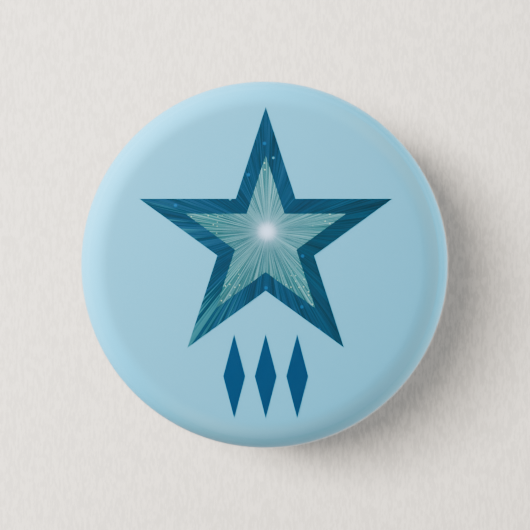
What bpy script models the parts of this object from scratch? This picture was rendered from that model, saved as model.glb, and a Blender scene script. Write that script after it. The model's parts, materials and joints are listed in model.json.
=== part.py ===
"""Pin-back button badge, 57 mm across, standing upright with its face towards -Y.

A printed paper disc under a clear film is pressed over a domed tinplate shell. A tinplate back
plate, with a spring wire pin held by three straps, is crimped in behind it.

The design frame lies face up: +Z towards the face, +Y towards the top of the print, and Z = 0
on the rear rim. The empty badge_frame stands it upright.
"""

import math

import bmesh
import bpy
from mathutils import Vector

MM = 0.001

# Face and rim, measured on the outside of the clear film
BADGE_RADIUS = 28.575 * MM  # a 2 1/4 inch die
EDGE_ROUNDING = 5.0 * MM
APEX_HEIGHT = 7.2 * MM
DOME_RADIUS = 241.0 * MM
RIM_CURL_RADIUS = 1.02 * MM
LIP_FOLD_RADIUS = 0.9 * MM
LIP_RADIUS = 25.85 * MM

# Layers of the face, from the outside in, with a clearance between them
FILM_THICKNESS = 0.10 * MM
PAPER_THICKNESS = 0.13 * MM
SHELL_THICKNESS = 0.25 * MM
LAYER_GAP = 0.10 * MM
FILM_LIP_END = 1.45 * MM
PAPER_LIP_END = 1.30 * MM
SHELL_LIP_END = 1.45 * MM

# Back plate
PLATE_THICKNESS = 0.30 * MM
PLATE_REAR = 3.2 * MM  # rear surface of its flat
RECESS_RADIUS = 24.4 * MM
RECESS_FILLET = 0.5 * MM
BEAD_WIDTH = 1.05 * MM
BEAD_CENTRE_HEIGHT = 1.2 * MM
FLANGE_REAR = 1.75 * MM
FLANGE_FILLET = 0.3 * MM
FLANGE_RADIUS = 27.35 * MM

# Straps punched out of the back plate
STRAP_ANGLES = (210, 270, 330)
STRAP_WIDTH = 3.0 * MM
STRAP_THICKNESS = 0.28 * MM
STRAP_ROOT = 2.6 * MM  # from the wire to the end that is buried in the plate
STRAP_REACH = 1.8 * MM  # from the wire to the foot of the arch
STRAP_SEGMENTS = 12
SLOT_HALF_LENGTH = 1.9 * MM
SLOT_SIDE_GAP = 0.1 * MM

# Spring wire pin
WIRE_RADIUS = 0.4 * MM
WIRE_CLEARANCE = 0.1 * MM  # to the plate and to the straps
BOW_RADIUS = 18.5 * MM
BOW_HEIGHT = PLATE_REAR - WIRE_CLEARANCE - WIRE_RADIUS
CORNER_RADIUS = 2.8 * MM
NEEDLE_OFFSET = 4.0 * MM  # above the middle of the badge
NEEDLE_HEIGHT = 1.45 * MM
NEEDLE_TIP_X = 19.6 * MM
NEEDLE_POINT_LENGTH = 4.0 * MM
NEEDLE_POINT_RADIUS = 0.08 * MM
HOOK_RADIUS = 1.1 * MM
HOOK_RISE = 0.28 * MM  # straight run past the needle before the hook turns back
BEND_GAP = 0.5 * MM  # between the two halves of the wire, at the hinge
HINGE_TILT = math.radians(30)  # the needle leaves the hook rearward and a little down

# Facets
TURN_STEPS = 48
DOME_STEPS = 3
EDGE_STEPS = 5
FOLD_STEPS = 2
BEAD_STEPS = 4
BOW_STEP = math.radians(6.5)
CORNER_STEPS = 8
HOOK_STEPS = 8
WELD_DISTANCE = 0.001 * MM


def clear_scene():
    for scene_object in list(bpy.data.objects):
        bpy.data.objects.remove(scene_object, do_unlink=True)


def new_collection(name):
    collection = bpy.data.collections.new(name)
    bpy.context.scene.collection.children.link(collection)
    return collection


def new_material(name, colour, roughness, metallic=0.0, alpha=1.0):
    material = bpy.data.materials.new(name)
    material.use_nodes = True
    surface = material.node_tree.nodes["Principled BSDF"]
    surface.inputs["Base Color"].default_value = (*colour, 1.0)
    surface.inputs["Roughness"].default_value = roughness
    surface.inputs["Metallic"].default_value = metallic
    surface.inputs["Alpha"].default_value = alpha
    return material


def arc(centre_x, centre_z, radius, start, end, steps):
    """Points on an arc, angles in degrees from +X towards +Z, both ends included."""
    points = []
    for i in range(steps + 1):
        angle = math.radians(start + (end - start) * i / steps)
        points.append((centre_x + radius * math.cos(angle), centre_z + radius * math.sin(angle)))
    return points


def face_line(depth, lip_end):
    """Section line of the face from the middle out, round the rim and up the folded lip.

    depth is how far the line lies inside the film's outer surface.
    """
    edge_x = BADGE_RADIUS - EDGE_ROUNDING
    dome_z = APEX_HEIGHT - DOME_RADIUS
    edge_z = dome_z + math.sqrt((DOME_RADIUS - EDGE_ROUNDING) ** 2 - edge_x**2)
    dome_edge = math.degrees(math.atan2(edge_z - dome_z, edge_x))
    curl_x = BADGE_RADIUS - RIM_CURL_RADIUS
    fold_x = LIP_RADIUS + LIP_FOLD_RADIUS
    dome = arc(0.0, dome_z, DOME_RADIUS - depth, 90, dome_edge, DOME_STEPS)
    dome[0] = (0.0, dome[0][1])
    edge = arc(edge_x, edge_z, EDGE_ROUNDING - depth, dome_edge, 0, EDGE_STEPS)
    curl = arc(curl_x, edge_z, edge_z - depth, 0, -90, FOLD_STEPS)
    fold = arc(fold_x, LIP_FOLD_RADIUS, LIP_FOLD_RADIUS - depth, -90, -180, FOLD_STEPS)
    return dome + edge[1:] + curl[1:] + fold + [(LIP_RADIUS + depth, lip_end)]


def face_section(depth, thickness, lip_end):
    return face_line(depth, lip_end) + face_line(depth + thickness, lip_end)[::-1]


def plate_line(depth):
    """Section line of the back plate from the middle out, depth in front of its rear surface."""
    bead_radius = BEAD_WIDTH / 2
    bead_x = RECESS_RADIUS + bead_radius
    flange_x = RECESS_RADIUS + BEAD_WIDTH + FLANGE_FILLET
    foot_x = RECESS_RADIUS - RECESS_FILLET
    foot_z = PLATE_REAR - RECESS_FILLET
    foot = arc(foot_x, foot_z, RECESS_FILLET + depth, 90, 0, FOLD_STEPS)
    bead = arc(bead_x, BEAD_CENTRE_HEIGHT, bead_radius - depth, 180, 360, BEAD_STEPS)
    root = arc(flange_x, FLANGE_REAR - FLANGE_FILLET, FLANGE_FILLET + depth, 180, 90, FOLD_STEPS)
    return [(0.0, PLATE_REAR + depth)] + foot + bead + root + [(FLANGE_RADIUS, FLANGE_REAR + depth)]


def plate_section():
    return plate_line(PLATE_THICKNESS) + plate_line(0.0)[::-1]


def add_object(name, data, collection, parent):
    new_object = bpy.data.objects.new(name, data)
    collection.objects.link(new_object)
    new_object.parent = parent
    return new_object


def turned_part(name, section, material, collection, parent):
    """A closed section, open on the axis, turned about Z."""
    mesh = bpy.data.meshes.new(name)
    edges = [(i, i + 1) for i in range(len(section) - 1)]
    mesh.from_pydata([(x, 0.0, z) for x, z in section], edges, [])
    mesh.materials.append(material)
    part = add_object(name, mesh, collection, parent)
    turn = part.modifiers.new("turn", "SCREW")
    turn.axis = "Z"
    turn.steps = TURN_STEPS
    turn.render_steps = TURN_STEPS
    turn.use_merge_vertices = True
    turn.merge_threshold = WELD_DISTANCE
    return part


def slot_cutter(name, angle, collection, parent):
    """A box through the back plate, under one strap."""
    bpy.ops.mesh.primitive_cube_add(size=1.0)
    cutter = bpy.context.active_object
    for linked in list(cutter.users_collection):
        linked.objects.unlink(cutter)
    collection.objects.link(cutter)
    cutter.name = name
    cutter.parent = parent
    cutter.location = (
        BOW_RADIUS * math.cos(angle),
        BOW_RADIUS * math.sin(angle),
        PLATE_REAR + PLATE_THICKNESS / 2,
    )
    cutter.rotation_euler = (0.0, 0.0, angle)
    cutter.scale = (
        2 * SLOT_HALF_LENGTH,
        STRAP_WIDTH + 2 * SLOT_SIDE_GAP,
        4 * PLATE_THICKNESS,
    )
    cutter.hide_render = True
    cutter.display_type = "WIRE"
    return cutter


def strap_line():
    """Middle line of a strap across the wire: flat in the plate, arched over the wire."""
    plate_middle = PLATE_REAR + PLATE_THICKNESS / 2
    arch_top = BOW_HEIGHT - WIRE_RADIUS - WIRE_CLEARANCE - STRAP_THICKNESS / 2
    points = [(-STRAP_ROOT, plate_middle)]
    for i in range(STRAP_SEGMENTS + 1):
        across = STRAP_REACH * (2 * i / STRAP_SEGMENTS - 1)
        swell = (1 + math.cos(math.pi * across / STRAP_REACH)) / 2
        points.append((across, plate_middle + (arch_top - plate_middle) * swell))
    points.append((STRAP_ROOT, plate_middle))
    return points


def strap_solid(name, angle, collection, parent):
    """An open strip along strap_line, made solid, standing at one place on the bow."""
    mesh = bpy.data.meshes.new(name)
    strip = bmesh.new()
    rows = []
    for across, height in strap_line():
        left = strip.verts.new((across, -STRAP_WIDTH / 2, height))
        right = strip.verts.new((across, STRAP_WIDTH / 2, height))
        rows.append((left, right))
    for (left, right), (next_left, next_right) in zip(rows, rows[1:]):
        strip.faces.new((left, next_left, next_right, right))
    strip.to_mesh(mesh)
    strip.free()
    strap = add_object(name, mesh, collection, parent)
    strap.location = (BOW_RADIUS * math.cos(angle), BOW_RADIUS * math.sin(angle), 0.0)
    strap.rotation_euler = (0.0, 0.0, angle)
    strap.hide_render = True
    strap.display_type = "WIRE"
    thicken = strap.modifiers.new("thicken", "SOLIDIFY")
    thicken.thickness = STRAP_THICKNESS
    thicken.offset = 0.0
    thicken.use_even_offset = True
    return strap


def add_boolean(part, tool, operation):
    change = part.modifiers.new(tool.name, "BOOLEAN")
    change.operation = operation
    change.object = tool
    change.solver = "EXACT"


def back_plate(material, parts, cutters, parent):
    plate = turned_part("back_plate", plate_section(), material, parts, parent)
    for degrees in STRAP_ANGLES:
        angle = math.radians(degrees)
        slot = slot_cutter(f"slot_{degrees}", angle, cutters, parent)
        strap = strap_solid(f"strap_{degrees}", angle, cutters, parent)
        add_boolean(plate, slot, "DIFFERENCE")
        add_boolean(plate, strap, "UNION")
    return plate


def corner_centre():
    """Middle of the bend that joins the bow, from inside, to the line of the needle."""
    reach = BOW_RADIUS - CORNER_RADIUS
    height = NEEDLE_OFFSET - CORNER_RADIUS
    return -math.sqrt(reach**2 - height**2), height


def hinge_point():
    return Vector((corner_centre()[0], NEEDLE_OFFSET, NEEDLE_HEIGHT))


def corner_points():
    """The bend from the needle down to the bow, dropping from one height to the other."""
    centre_x, centre_y = corner_centre()
    start = math.pi / 2 + BEND_GAP / 2 / CORNER_RADIUS
    end = math.atan2(centre_y, centre_x)
    points = []
    for i in range(CORNER_STEPS + 1):
        share = i / CORNER_STEPS
        angle = start + (end - start) * share
        ease = share * share * (3 - 2 * share)
        points.append(Vector((
            centre_x + CORNER_RADIUS * math.cos(angle),
            centre_y + CORNER_RADIUS * math.sin(angle),
            NEEDLE_HEIGHT + (BOW_HEIGHT - NEEDLE_HEIGHT) * ease,
        )))
    return points


def bow_points():
    """The round of the bow, from the bend round the bottom to the foot of the hook."""
    centre_x, centre_y = corner_centre()
    start = math.atan2(centre_y, centre_x)
    end = 2 * math.pi + math.asin(NEEDLE_OFFSET / BOW_RADIUS)
    steps = round((end - start) / BOW_STEP)
    points = []
    for i in range(steps + 1):
        angle = start + (end - start) * i / steps
        points.append(Vector((
            BOW_RADIUS * math.cos(angle),
            BOW_RADIUS * math.sin(angle),
            BOW_HEIGHT,
        )))
    return points


def hook_points(foot):
    """The hook from the foot, in front of the needle, over it and back behind it."""
    along = Vector((-foot.y, foot.x, 0.0)).normalized()
    middle = foot + along * HOOK_RISE - Vector((0.0, 0.0, HOOK_RADIUS))
    points = []
    for i in range(HOOK_STEPS + 1):
        angle = math.pi * i / HOOK_STEPS
        rise = Vector((0.0, 0.0, HOOK_RADIUS * math.cos(angle)))
        points.append(middle + along * HOOK_RADIUS * math.sin(angle) + rise)
    return points


def wire(name, points, radii, material, collection, parent):
    """Round wire along the points, with a radius for each."""
    curve = bpy.data.curves.new(name, "CURVE")
    curve.dimensions = "3D"
    curve.bevel_depth = WIRE_RADIUS
    curve.bevel_resolution = 2
    curve.use_fill_caps = True
    run = curve.splines.new("POLY")
    run.points.add(len(points) - 1)
    for point, place, radius in zip(run.points, points, radii):
        point.co = (*place, 1.0)
        point.radius = radius / WIRE_RADIUS
    curve.materials.append(material)
    return add_object(name, curve, collection, parent)


def pin_bow(material, collection, parent):
    bow = bow_points()
    points = corner_points() + bow[1:] + hook_points(bow[-1])
    radii = [WIRE_RADIUS] * len(points)
    return wire("pin_bow", points, radii, material, collection, parent)


def pin_needle(material, collection, parent):
    """The needle, with its origin at the hinge in the wire's bend."""
    hinge = bpy.data.objects.new("needle_hinge", None)
    collection.objects.link(hinge)
    hinge.parent = parent
    hinge.location = hinge_point()
    axis = Vector((0.0, math.cos(HINGE_TILT), -math.sin(HINGE_TILT)))
    hinge.rotation_mode = "QUATERNION"
    hinge.rotation_quaternion = Vector((0.0, 0.0, 1.0)).rotation_difference(axis)
    length = NEEDLE_TIP_X - hinge.location.x
    shoulder = length - NEEDLE_POINT_LENGTH
    points = [Vector((x, 0.0, 0.0)) for x in (BEND_GAP / 2, shoulder / 2, shoulder, length)]
    radii = [WIRE_RADIUS, WIRE_RADIUS, WIRE_RADIUS, NEEDLE_POINT_RADIUS]
    needle = wire("pin_needle", points, radii, material, collection, hinge)
    needle.rotation_mode = "QUATERNION"
    needle.rotation_quaternion = hinge.rotation_quaternion.inverted()
    return needle


def stand_upright(collection):
    frame = bpy.data.objects.new("badge_frame", None)
    collection.objects.link(frame)
    frame.rotation_euler = (math.pi / 2, 0.0, 0.0)
    return frame


def build_badge():
    clear_scene()
    parts = new_collection("button_badge")
    cutters = new_collection("cutters")
    frame = stand_upright(parts)

    film = new_material("clear_film", (0.9, 0.95, 0.97), 0.08, alpha=0.25)
    paper = new_material("printed_paper", (0.34, 0.56, 0.66), 0.6)
    shell = new_material("shell_tinplate", (0.62, 0.63, 0.64), 0.35, metallic=1.0)
    plate = new_material("plate_tinplate", (0.66, 0.67, 0.68), 0.3, metallic=1.0)
    plated_wire = new_material("plated_wire", (0.72, 0.72, 0.72), 0.2, metallic=1.0)

    paper_depth = FILM_THICKNESS + LAYER_GAP
    shell_depth = paper_depth + PAPER_THICKNESS + LAYER_GAP
    film_section = face_section(0.0, FILM_THICKNESS, FILM_LIP_END)
    paper_section = face_section(paper_depth, PAPER_THICKNESS, PAPER_LIP_END)
    shell_section = face_section(shell_depth, SHELL_THICKNESS, SHELL_LIP_END)
    turned_part("clear_film", film_section, film, parts, frame)
    turned_part("printed_paper", paper_section, paper, parts, frame)
    turned_part("shell", shell_section, shell, parts, frame)
    back_plate(plate, parts, cutters, frame)
    pin_bow(plated_wire, parts, frame)
    pin_needle(plated_wire, parts, frame)


build_badge()
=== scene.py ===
import json
import math

import bmesh
import bpy
from mathutils import Matrix, Vector


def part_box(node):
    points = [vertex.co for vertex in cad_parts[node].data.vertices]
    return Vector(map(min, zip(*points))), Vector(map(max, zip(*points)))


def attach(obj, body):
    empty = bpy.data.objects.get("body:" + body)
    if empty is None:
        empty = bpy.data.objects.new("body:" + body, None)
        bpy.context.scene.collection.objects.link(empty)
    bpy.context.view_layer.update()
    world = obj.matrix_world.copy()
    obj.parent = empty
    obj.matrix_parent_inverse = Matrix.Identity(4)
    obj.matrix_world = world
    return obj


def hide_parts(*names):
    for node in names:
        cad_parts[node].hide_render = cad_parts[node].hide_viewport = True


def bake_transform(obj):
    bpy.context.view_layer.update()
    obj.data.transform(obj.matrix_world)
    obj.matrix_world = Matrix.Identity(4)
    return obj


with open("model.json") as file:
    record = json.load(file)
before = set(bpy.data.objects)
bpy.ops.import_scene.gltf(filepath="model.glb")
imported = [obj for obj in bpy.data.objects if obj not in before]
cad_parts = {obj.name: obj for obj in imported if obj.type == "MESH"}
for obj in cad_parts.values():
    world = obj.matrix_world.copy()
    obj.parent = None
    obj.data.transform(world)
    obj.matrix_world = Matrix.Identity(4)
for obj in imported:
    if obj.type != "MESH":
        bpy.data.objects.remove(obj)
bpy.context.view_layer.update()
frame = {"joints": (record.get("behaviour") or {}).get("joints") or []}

# The badge is turned and drawn lying face up, as in the CAD model's own design frame: +Z towards
# the face, +Y towards the top of the print, Z = 0 on the rear rim. STAND then sets it upright.
MM = 0.001
STAND = Matrix.Rotation(math.pi / 2, 4, "X")
MATERIAL_UNIT = 1000.0  # materials count in millimetres

film_low, film_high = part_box("clear_film")
bow_low, bow_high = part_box("pin_bow")
needle_low, needle_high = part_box("pin_needle")
hinge = next(j for j in frame["joints"] if j["name"] == "needle_hinge")

# Face and rim
BADGE_RADIUS = film_high.x
APEX_HEIGHT = -film_low.y
EDGE_ROUNDING = 5.0 * MM
DOME_RADIUS = 241.0 * MM
RIM_CURL_RADIUS = 1.02 * MM
LIP_FOLD_RADIUS = 0.9 * MM
LIP_RADIUS = 25.85 * MM
FILM_THICKNESS = 0.10 * MM
PAPER_THICKNESS = 0.13 * MM
SHELL_THICKNESS = 0.25 * MM
LAYER_GAP = 0.10 * MM
PAPER_DEPTH = FILM_THICKNESS + LAYER_GAP
SHELL_DEPTH = PAPER_DEPTH + PAPER_THICKNESS + LAYER_GAP
LIP_END = 1.45 * MM
PAPER_LIP_END = 1.30 * MM

# Back plate and its straps
PLATE_THICKNESS = 0.30 * MM
PLATE_REAR = 3.2 * MM
RECESS_RADIUS = 24.4 * MM
RECESS_FILLET = 0.5 * MM
BEAD_WIDTH = 1.05 * MM
BEAD_CENTRE_HEIGHT = 1.2 * MM
FLANGE_REAR = 1.75 * MM
FLANGE_FILLET = 0.3 * MM
FLANGE_RADIUS = 27.35 * MM
STRAP_ANGLES = (210, 270, 330)
STRAP_WIDTH = 3.0 * MM
STRAP_THICKNESS = 0.28 * MM
STRAP_ROOT = 2.6 * MM
STRAP_REACH = 1.8 * MM
STRAP_EDGE = 0.06 * MM
SLOT_HALF_LENGTH = 1.9 * MM
SLOT_SIDE_GAP = 0.1 * MM
SLOT_CUT_DEPTH = 4 * PLATE_THICKNESS  # well through the plate on both sides

# Wire pin
WIRE_RADIUS = (needle_high.z - needle_low.z) / 2
WIRE_CLEARANCE = 0.1 * MM
BOW_HEIGHT = -bow_low.y - WIRE_RADIUS
BOW_RADIUS = 18.5 * MM
CORNER_RADIUS = 2.8 * MM
HINGE_X = hinge["pos_m"][0]
NEEDLE_HEIGHT = -hinge["pos_m"][1]
NEEDLE_OFFSET = hinge["pos_m"][2]
NEEDLE_TIP_X = needle_high.x
NEEDLE_POINT_LENGTH = 4.0 * MM
NEEDLE_POINT_SHARE = 0.12  # of the wire's radius, at the very tip
NEEDLE_POINT_SWELL = 0.85  # power of the taper, so that the point is slightly bellied
CUT_LENGTH = 0.07 * MM  # eased end of the hook
CUT_SHARE = 0.84
HOOK_RADIUS = 1.1 * MM
HOOK_RISE = 0.28 * MM
WIRE_SPLIT = math.radians(STRAP_ANGLES[0])  # the two wire pieces meet under this strap

# How finely the meshes are divided
DOME_STEPS = 14
EDGE_STEPS = 20
CURL_STEPS = 8
RECESS_FILLET_STEPS = 8
BEAD_STEPS = 16
FLANGE_FILLET_STEPS = 6
FACE_TURN_STEPS = 256
SHELL_TURN_STEPS = 128
PLATE_TURN_STEPS = 240
STRAP_STEPS = 28
STRAP_EDGE_STEPS = 3
STRAP_EDGE_ANGLE = math.radians(60)
BOW_STEP = math.radians(1.5)
CORNER_STEPS = 26
HOOK_STEPS = 24
NEEDLE_STEPS = 20
WIRE_ROUND_STEPS = 6
STAR_SIDE_STEPS = 12
STAR_RINGS = 16
LOZENGE_SIDE_STEPS = 6
LOZENGE_RINGS = 5
WELD_DISTANCE = 0.0005 * MM
AXIS_WELD_DISTANCE = 0.001 * MM

# Edges bent by more than this many degrees stay sharp
TURNED_SHARP = 35
PLATE_SHARP = 30
WIRE_SHARP = 50
INK_SHARP = 40

# Print: a star burst over three lozenges
STAR_POINTS = 5
STAR_CENTRE = Vector((0.2, 3.81)) * MM
STAR_RADIUS = 20.5 * MM
INNER_STAR_RADIUS = 12.97 * MM
STAR_NOTCH = 0.381966  # notch radius over point radius in a pentagram
BURST_CENTRE = Vector((0.4, 5.09)) * MM
LOZENGE_MIDDLE = Vector((0.2, -17.18)) * MM
LOZENGE_SIZE = Vector((3.37, 12.97)) * MM
LOZENGE_PITCH = 4.85 * MM
INK_THICKNESS = 0.02 * MM
INK_DEPTH = PAPER_DEPTH - 0.035 * MM
TOP_INK_DEPTH = INK_DEPTH - 0.04 * MM


# ---------------------------------------------------------------- meshes


def arc(centre_x, centre_z, radius, start, end, steps):
    """Points on an arc, angles in degrees from +X towards +Z, both ends included."""
    points = []
    for i in range(steps + 1):
        angle = math.radians(start + (end - start) * i / steps)
        points.append((centre_x + radius * math.cos(angle), centre_z + radius * math.sin(angle)))
    return points


def edge_centre_height():
    """Height of the middle of the shoulder's arc, which meets the dome without a kink."""
    edge_x = BADGE_RADIUS - EDGE_ROUNDING
    return APEX_HEIGHT - DOME_RADIUS + math.sqrt((DOME_RADIUS - EDGE_ROUNDING) ** 2 - edge_x**2)


def face_line(depth, lip_end):
    """A line from the middle of the face out, round the rim and up the folded lip."""
    edge_x = BADGE_RADIUS - EDGE_ROUNDING
    edge_z = edge_centre_height()
    dome_z = APEX_HEIGHT - DOME_RADIUS
    dome_edge = math.degrees(math.atan2(edge_z - dome_z, edge_x))
    curl_x = BADGE_RADIUS - RIM_CURL_RADIUS
    fold_x = LIP_RADIUS + LIP_FOLD_RADIUS
    dome = arc(0.0, dome_z, DOME_RADIUS - depth, 90, dome_edge, DOME_STEPS)
    dome[0] = (0.0, dome[0][1])
    edge = arc(edge_x, edge_z, EDGE_ROUNDING - depth, dome_edge, 0, EDGE_STEPS)
    curl = arc(curl_x, edge_z, edge_z - depth, 0, -90, CURL_STEPS)
    fold = arc(fold_x, LIP_FOLD_RADIUS, LIP_FOLD_RADIUS - depth, -90, -180, CURL_STEPS)
    return dome + edge[1:] + curl[1:] + fold + [(LIP_RADIUS + depth, lip_end)]


def face_section(depth, thickness, lip_end):
    """Closed section of one layer of the face, from its outer surface at that depth."""
    return face_line(depth, lip_end) + face_line(depth + thickness, lip_end)[::-1]


def plate_line(depth):
    """A line across the back plate from the middle out, depth in front of its rear surface."""
    bead_radius = BEAD_WIDTH / 2
    bead_x = RECESS_RADIUS + bead_radius
    flange_x = RECESS_RADIUS + BEAD_WIDTH + FLANGE_FILLET
    foot_x = RECESS_RADIUS - RECESS_FILLET
    foot_z = PLATE_REAR - RECESS_FILLET
    root_z = FLANGE_REAR - FLANGE_FILLET
    middle = (0.0, PLATE_REAR + depth)
    foot = arc(foot_x, foot_z, RECESS_FILLET + depth, 90, 0, RECESS_FILLET_STEPS)
    bead = arc(bead_x, BEAD_CENTRE_HEIGHT, bead_radius - depth, 180, 360, BEAD_STEPS)
    root = arc(flange_x, root_z, FLANGE_FILLET + depth, 180, 90, FLANGE_FILLET_STEPS)
    end = (FLANGE_RADIUS, FLANGE_REAR + depth)
    return [middle, *foot, *bead, *root, end]


def add_piece(name, mesh):
    piece = bpy.data.objects.new(name, mesh)
    bpy.context.scene.collection.objects.link(piece)
    return piece


def settle(piece):
    """Turns a piece's modifiers or curve into a plain mesh, set upright."""
    bpy.context.view_layer.update()
    shaped = piece.evaluated_get(bpy.context.evaluated_depsgraph_get())
    mesh = bpy.data.meshes.new_from_object(shaped)
    mesh.transform(STAND @ piece.matrix_world)
    name = piece.name
    bpy.data.objects.remove(piece)
    mesh.name = name
    return add_piece(name, mesh)


def smooth(piece, sharp=TURNED_SHARP):
    """Welds a piece and shades it smooth, with the edges bent by more than sharp kept sharp."""
    work = bmesh.new()
    work.from_mesh(piece.data)
    bmesh.ops.remove_doubles(work, verts=work.verts, dist=WELD_DISTANCE)
    bmesh.ops.recalc_face_normals(work, faces=work.faces)
    work.to_mesh(piece.data)
    work.free()
    piece.data.shade_smooth()
    piece.data.set_sharp_from_angle(angle=math.radians(sharp))
    return piece


def turned(name, section, steps):
    """A section that is open on the axis, turned about it into a closed solid."""
    mesh = bpy.data.meshes.new(name)
    edges = [(i, i + 1) for i in range(len(section) - 1)]
    mesh.from_pydata([(x, 0.0, z) for x, z in section], edges, [])
    piece = add_piece(name, mesh)
    turn = piece.modifiers.new("turn", "SCREW")
    turn.axis = "Z"
    turn.steps = steps
    turn.render_steps = steps
    turn.use_merge_vertices = True
    turn.merge_threshold = AXIS_WELD_DISTANCE
    return piece


def slot_cutter(angle):
    """A block that cuts the slot through the plate under one strap."""
    bpy.ops.mesh.primitive_cube_add(size=1.0)
    cutter = bpy.context.active_object
    cutter.location = (
        BOW_RADIUS * math.cos(angle),
        BOW_RADIUS * math.sin(angle),
        PLATE_REAR + PLATE_THICKNESS / 2,
    )
    cutter.rotation_euler = (0.0, 0.0, angle)
    cutter.scale = (2 * SLOT_HALF_LENGTH, STRAP_WIDTH + 2 * SLOT_SIDE_GAP, SLOT_CUT_DEPTH)
    return cutter


def strap(angle):
    """A strip arched over the wire, with its ends in the plate and its long edges eased."""
    plate_middle = PLATE_REAR + PLATE_THICKNESS / 2
    arch_top = BOW_HEIGHT - WIRE_RADIUS - WIRE_CLEARANCE - STRAP_THICKNESS / 2
    line = [(-STRAP_ROOT, plate_middle)]
    for i in range(STRAP_STEPS + 1):
        across = STRAP_REACH * (2 * i / STRAP_STEPS - 1)
        swell = (1 + math.cos(math.pi * across / STRAP_REACH)) / 2
        line.append((across, plate_middle + (arch_top - plate_middle) * swell))
    line.append((STRAP_ROOT, plate_middle))
    strip = bmesh.new()
    rows = []
    for across, height in line:
        left = strip.verts.new((across, -STRAP_WIDTH / 2, height))
        right = strip.verts.new((across, STRAP_WIDTH / 2, height))
        rows.append((left, right))
    for (left, right), (next_left, next_right) in zip(rows, rows[1:]):
        strip.faces.new((left, next_left, next_right, right))
    mesh = bpy.data.meshes.new("strap")
    strip.to_mesh(mesh)
    strip.free()
    piece = add_piece("strap", mesh)
    piece.location = (BOW_RADIUS * math.cos(angle), BOW_RADIUS * math.sin(angle), 0.0)
    piece.rotation_euler = (0.0, 0.0, angle)
    thicken = piece.modifiers.new("thicken", "SOLIDIFY")
    thicken.thickness = STRAP_THICKNESS
    thicken.offset = 0.0
    thicken.use_even_offset = True
    ease = piece.modifiers.new("ease", "BEVEL")
    ease.width = STRAP_EDGE
    ease.segments = STRAP_EDGE_STEPS
    ease.limit_method = "ANGLE"
    ease.angle_limit = STRAP_EDGE_ANGLE
    return piece


def make_back_plate():
    section = plate_line(PLATE_THICKNESS) + plate_line(0.0)[::-1]
    plate = turned("back_plate_skin", section, PLATE_TURN_STEPS)
    tools = []
    for degrees in STRAP_ANGLES:
        angle = math.radians(degrees)
        for tool, operation in ((slot_cutter(angle), "DIFFERENCE"), (strap(angle), "UNION")):
            change = plate.modifiers.new(operation, "BOOLEAN")
            change.operation = operation
            change.object = tool
            change.solver = "EXACT"
            tools.append(tool)
    plate = settle(plate)
    for tool in tools:
        bpy.data.objects.remove(tool)
    return smooth(plate, PLATE_SHARP)


def corner_centre():
    reach = BOW_RADIUS - CORNER_RADIUS
    height = NEEDLE_OFFSET - CORNER_RADIUS
    return -math.sqrt(reach**2 - height**2), height


def bow_point(angle):
    return Vector((BOW_RADIUS * math.cos(angle), BOW_RADIUS * math.sin(angle), BOW_HEIGHT))


def bow_run(start, end):
    steps = round(abs(end - start) / BOW_STEP)
    return [bow_point(start + (end - start) * i / steps) for i in range(steps + 1)]


def corner_run():
    """The bend up from the bow to the line of the needle, rising from one height to the other."""
    centre_x, centre_y = corner_centre()
    start = math.atan2(centre_y, centre_x)
    end = math.pi / 2
    points = []
    for i in range(1, CORNER_STEPS + 1):
        share = i / CORNER_STEPS
        angle = start + (end - start) * share
        ease = share * share * (3 - 2 * share)
        points.append(Vector((
            centre_x + CORNER_RADIUS * math.cos(angle),
            centre_y + CORNER_RADIUS * math.sin(angle),
            BOW_HEIGHT + (NEEDLE_HEIGHT - BOW_HEIGHT) * ease,
        )))
    return points


def hook_run(foot):
    """The hook from its foot, in front of the needle, over it and back behind it."""
    along = Vector((-foot.y, foot.x, 0.0)).normalized()
    middle = foot + along * HOOK_RISE - Vector((0.0, 0.0, HOOK_RADIUS))
    points = []
    for i in range(HOOK_STEPS + 1):
        angle = math.pi * i / HOOK_STEPS
        rise = Vector((0.0, 0.0, HOOK_RADIUS * math.cos(angle)))
        points.append(middle + along * HOOK_RADIUS * math.sin(angle) + rise)
    return points


def wire_piece(name, points, shares):
    """Round wire along the points. shares are its radius at each, over the full radius."""
    curve = bpy.data.curves.new(name, "CURVE")
    curve.dimensions = "3D"
    curve.bevel_depth = WIRE_RADIUS
    curve.bevel_resolution = WIRE_ROUND_STEPS
    curve.use_fill_caps = True
    run = curve.splines.new("POLY")
    run.points.add(len(points) - 1)
    for point, place, share in zip(run.points, points, shares):
        point.co = (*place, 1.0)
        point.radius = share
    return smooth(settle(add_piece(name, curve)), WIRE_SHARP)


def make_bow_wire():
    """From under the first strap round the bottom to the cut end of the hook."""
    end = 2 * math.pi + math.asin(NEEDLE_OFFSET / BOW_RADIUS)
    bow = bow_run(WIRE_SPLIT, end)
    points = bow + hook_run(bow[-1])
    cut = points[-1]
    inward = (points[-2] - cut).normalized()
    points[-1] = cut + inward * CUT_LENGTH
    points.append(cut)
    shares = [1.0] * (len(points) - 1) + [CUT_SHARE]
    return wire_piece("bow_wire", points, shares)


def make_needle_wire():
    """From under the first strap up the left side, round the bend and along the needle."""
    start = math.atan2(*reversed(corner_centre()))
    bend = bow_run(WIRE_SPLIT, start) + corner_run()
    line = []
    shares = [1.0] * len(bend)
    shoulder = NEEDLE_TIP_X - NEEDLE_POINT_LENGTH
    for i in range(1, NEEDLE_STEPS + 1):
        line.append(HINGE_X + (shoulder - HINGE_X) * i / NEEDLE_STEPS)
        shares.append(1.0)
    for i in range(1, NEEDLE_STEPS + 1):
        left = 1 - i / NEEDLE_STEPS
        line.append(shoulder + NEEDLE_POINT_LENGTH * (1 - left))
        shares.append(NEEDLE_POINT_SHARE + (1 - NEEDLE_POINT_SHARE) * left**NEEDLE_POINT_SWELL)
    points = bend + [Vector((x, NEEDLE_OFFSET, NEEDLE_HEIGHT)) for x in line]
    return wire_piece("needle_wire", points, shares)


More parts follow.
